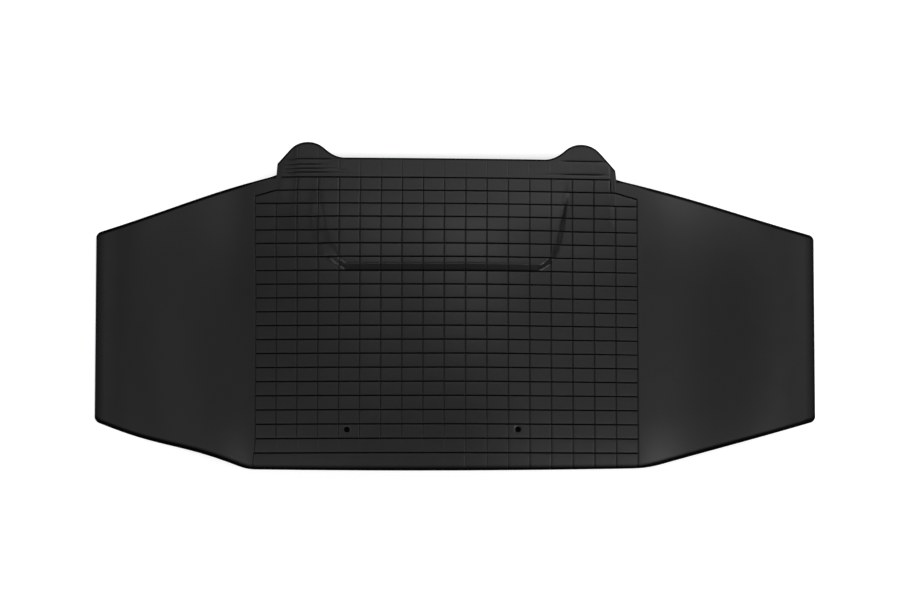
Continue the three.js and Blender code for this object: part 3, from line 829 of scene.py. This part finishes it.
# Materials
def new_material(name):
    material = bpy.data.materials.new(name)
    material.use_nodes = True
    nodes = material.node_tree.nodes
    nodes.clear()
    output = nodes.new("ShaderNodeOutputMaterial")
    return material, nodes, material.node_tree.links, output


def noise(nodes, links, coordinates, scale, detail):
    texture = nodes.new("ShaderNodeTexNoise")
    texture.inputs["Scale"].default_value = scale
    texture.inputs["Detail"].default_value = detail
    links.new(coordinates, texture.inputs["Vector"])
    return texture.outputs["Fac"]


def map_range(nodes, links, value, to_low, to_high, from_low, from_high):
    mapped = nodes.new("ShaderNodeMapRange")
    mapped.inputs["From Min"].default_value = from_low
    mapped.inputs["From Max"].default_value = from_high
    mapped.inputs["To Min"].default_value = to_low
    mapped.inputs["To Max"].default_value = to_high
    links.new(value, mapped.inputs["Value"])
    return mapped.outputs["Result"]


def product(nodes, links, a, b):
    times = nodes.new("ShaderNodeMath")
    times.operation = "MULTIPLY"
    links.new(a, times.inputs[0])
    links.new(b, times.inputs[1])
    return times.outputs["Value"]


def scaled_colour(nodes, links, colour, share):
    scaled = nodes.new("ShaderNodeVectorMath")
    scaled.operation = "SCALE"
    scaled.inputs[0].default_value = colour
    links.new(share, scaled.inputs["Scale"])
    return scaled.outputs["Vector"]


def bumped(nodes, links, height):
    bump = nodes.new("ShaderNodeBump")
    bump.inputs["Strength"].default_value = GRAIN_STRENGTH
    bump.inputs["Distance"].default_value = GRAIN_HEIGHT
    links.new(height, bump.inputs["Height"])
    return bump.outputs["Normal"]


def share_of(nodes, name):
    """A share from 0 to 1 that the mesh keeps at each of its points."""
    attribute = nodes.new("ShaderNodeAttribute")
    attribute.attribute_name = name
    return attribute.outputs["Fac"]


def rubber_material():
    """Satin black rubber with a fine grain, with shade painted into its grooves, creases, brink and right
    crest and along its cut edge, where the reflection is darkened too.
    """
    material, nodes, links, output = new_material("black_rubber")
    shader = nodes.new("ShaderNodeBsdfPrincipled")
    links.new(shader.outputs["BSDF"], output.inputs["Surface"])
    coordinates = nodes.new("ShaderNodeTexCoord").outputs["Object"]
    mottle = noise(nodes, links, coordinates, MOTTLE_SCALE, MOTTLE_DETAIL)
    tone = map_range(nodes, links, mottle, 1.0 - TONE_CHANGE, 1.0 + TONE_CHANGE, *NOISE_RANGE)
    groove = share_of(nodes, "groove")
    edge = share_of(nodes, "edge")
    # Painted shade: the colour darkens in the grooves, creases, brink and right crest, and along the cut
    # edge
    painted_line_shade = map_range(nodes, links, groove, 1.0, GROOVE_PAINTED_SHADE, 0.0, GROOVE_FULL)
    rim = map_range(nodes, links, edge, 1.0, EDGE_PAINTED_SHADE, EDGE_FROM, EDGE_FULL)
    shade = product(nodes, links, product(nodes, links, tone, painted_line_shade), rim)
    # Painted shade in the reflection too: darkened along the cut edge and in the lines
    dulled = RUBBER_SPECULAR * EDGE_SPECULAR_SHARE
    specular = map_range(nodes, links, edge, RUBBER_SPECULAR, dulled, EDGE_FROM, EDGE_FULL)
    links.new(product(nodes, links, specular, painted_line_shade), shader.inputs["Specular IOR Level"])
    links.new(scaled_colour(nodes, links, RUBBER_COLOUR, shade), shader.inputs["Base Color"])
    spots = noise(nodes, links, coordinates, SPOT_SCALE, SPOT_DETAIL)
    roughness = map_range(nodes, links, spots, *RUBBER_ROUGHNESS, *NOISE_RANGE)
    links.new(roughness, shader.inputs["Roughness"])
    grain = noise(nodes, links, coordinates, GRAIN_SCALE, GRAIN_DETAIL)
    links.new(bumped(nodes, links, grain), shader.inputs["Normal"])
    return material


def is_seen_ray(nodes, links):
    """1 for the rays that show the floor as a background: camera, glossy and transmission rays."""
    path = nodes.new("ShaderNodeLightPath")
    either = path.outputs["Is Camera Ray"]
    for name in ("Is Glossy Ray", "Is Transmission Ray"):
        most = nodes.new("ShaderNodeMath")
        most.operation = "MAXIMUM"
        links.new(either, most.inputs[0])
        links.new(path.outputs[name], most.inputs[1])
        either = most.outputs["Value"]
    return either


def outside_painted_shadow(nodes, links):
    """0 in a box on the floor deep under the arch, where hardly any light comes and a shadow is painted,
    and 1 around the mat.
    """
    place = nodes.new("ShaderNodeVectorMath")
    place.operation = "MULTIPLY"
    place.inputs[1].default_value = (1.0 / PAINTED_SHADOW_HALF_SIZE[0], 1.0 / PAINTED_SHADOW_HALF_SIZE[1], 0.0)
    links.new(nodes.new("ShaderNodeTexCoord").outputs["Object"], place.inputs[0])
    distance = nodes.new("ShaderNodeVectorMath")
    distance.operation = "ABSOLUTE"
    links.new(place.outputs["Vector"], distance.inputs[0])
    parts = nodes.new("ShaderNodeSeparateXYZ")
    links.new(distance.outputs["Vector"], parts.inputs["Vector"])
    farther = nodes.new("ShaderNodeMath")
    farther.operation = "MAXIMUM"
    links.new(parts.outputs["X"], farther.inputs[0])
    links.new(parts.outputs["Y"], farther.inputs[1])
    return map_range(nodes, links, farther.outputs["Value"], 0.0, 1.0, *PAINTED_SHADOW_EDGE)


def floor_material():
    """White paper, made brighter where it is seen, with a shadow painted under the arch as a dark box with
    soft edges, where it doesn't glow.
    """
    material, nodes, links, output = new_material("white_floor")
    outside = outside_painted_shadow(nodes, links)
    paper = nodes.new("ShaderNodeBsdfDiffuse")
    # Painted shadow: inside the box under the arch the paper is dark and doesn't glow
    links.new(map_range(nodes, links, outside, PAINTED_FLOOR_SHADOW, FLOOR_TONE, 0.0, 1.0), paper.inputs["Color"])
    glow = nodes.new("ShaderNodeEmission")
    lit = product(nodes, links, outside, is_seen_ray(nodes, links))
    links.new(map_range(nodes, links, lit, 0.0, FLOOR_GLOW, 0.0, 1.0), glow.inputs["Strength"])
    whole = nodes.new("ShaderNodeAddShader")
    links.new(paper.outputs["BSDF"], whole.inputs[0])
    links.new(glow.outputs["Emission"], whole.inputs[1])
    links.new(whole.outputs["Shader"], output.inputs["Surface"])
    return material


# Stage
def make_floor():
    half = FLOOR_SIZE / 2
    corners = [(-half, -half, 0.0), (half, -half, 0.0), (half, half, 0.0), (-half, half, 0.0)]
    mesh = bpy.data.meshes.new("floor")
    mesh.from_pydata(corners, [], [(0, 1, 2, 3)])
    mesh.materials.append(floor_material())
    floor = bpy.data.objects.new("floor", mesh)
    floor.location.z = -FLOOR_GAP
    bpy.context.scene.collection.objects.link(floor)


def aim(thing, target):
    direction = Vector(target) - thing.location
    thing.rotation_mode = "QUATERNION"
    thing.rotation_quaternion = direction.to_track_quat("-Z", "Y")


def make_lamp(name, angles, size, power):
    lamp = bpy.data.lights.new(name, "AREA")
    lamp.size = size
    lamp.energy = power
    holder = bpy.data.objects.new(name, lamp)
    across, along = (math.radians(angle) for angle in angles)
    upright = math.cos(across) * math.cos(along)
    direction = Vector((math.sin(across) * math.cos(along), math.sin(along), upright))
    holder.location = direction * LAMP_DISTANCE
    holder.visible_camera = False
    bpy.context.scene.collection.objects.link(holder)
    aim(holder, (0.0, 0.0, BORDER_HEIGHT))


def make_world():
    world = bpy.data.worlds.new("studio")
    world.use_nodes = True
    background = world.node_tree.nodes["Background"]
    background.inputs["Color"].default_value = (1.0, 1.0, 1.0, 1.0)
    background.inputs["Strength"].default_value = WORLD_LEVEL
    bpy.context.scene.world = world


def make_camera():
    """The photograph's view, from high above and a little in front."""
    camera = bpy.data.cameras.new("camera")
    camera.sensor_width = SENSOR_WIDTH_MM
    camera.lens = SENSOR_WIDTH_MM * CAMERA_DISTANCE / (PHOTO_WIDTH * SCALE_PER_PIXEL)
    holder = bpy.data.objects.new("camera", camera)
    elevation = math.radians(CAMERA_ELEVATION)
    back = Vector((0.0, -math.cos(elevation), math.sin(elevation)))
    holder.location = Vector(CAMERA_TARGET) + back * CAMERA_DISTANCE
    bpy.context.scene.collection.objects.link(holder)
    aim(holder, CAMERA_TARGET)
    bpy.context.scene.camera = holder


mat = make_mat()
mat.data.materials.clear()
mat.data.materials.append(rubber_material())
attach(mat, "root")
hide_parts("mat")

make_floor()
for lamp_name, lamp_angles, lamp_size, lamp_power in LAMPS:
    make_lamp(lamp_name, lamp_angles, lamp_size, lamp_power)
make_world()
make_camera()
bpy.context.scene.view_settings.view_transform = "Standard"
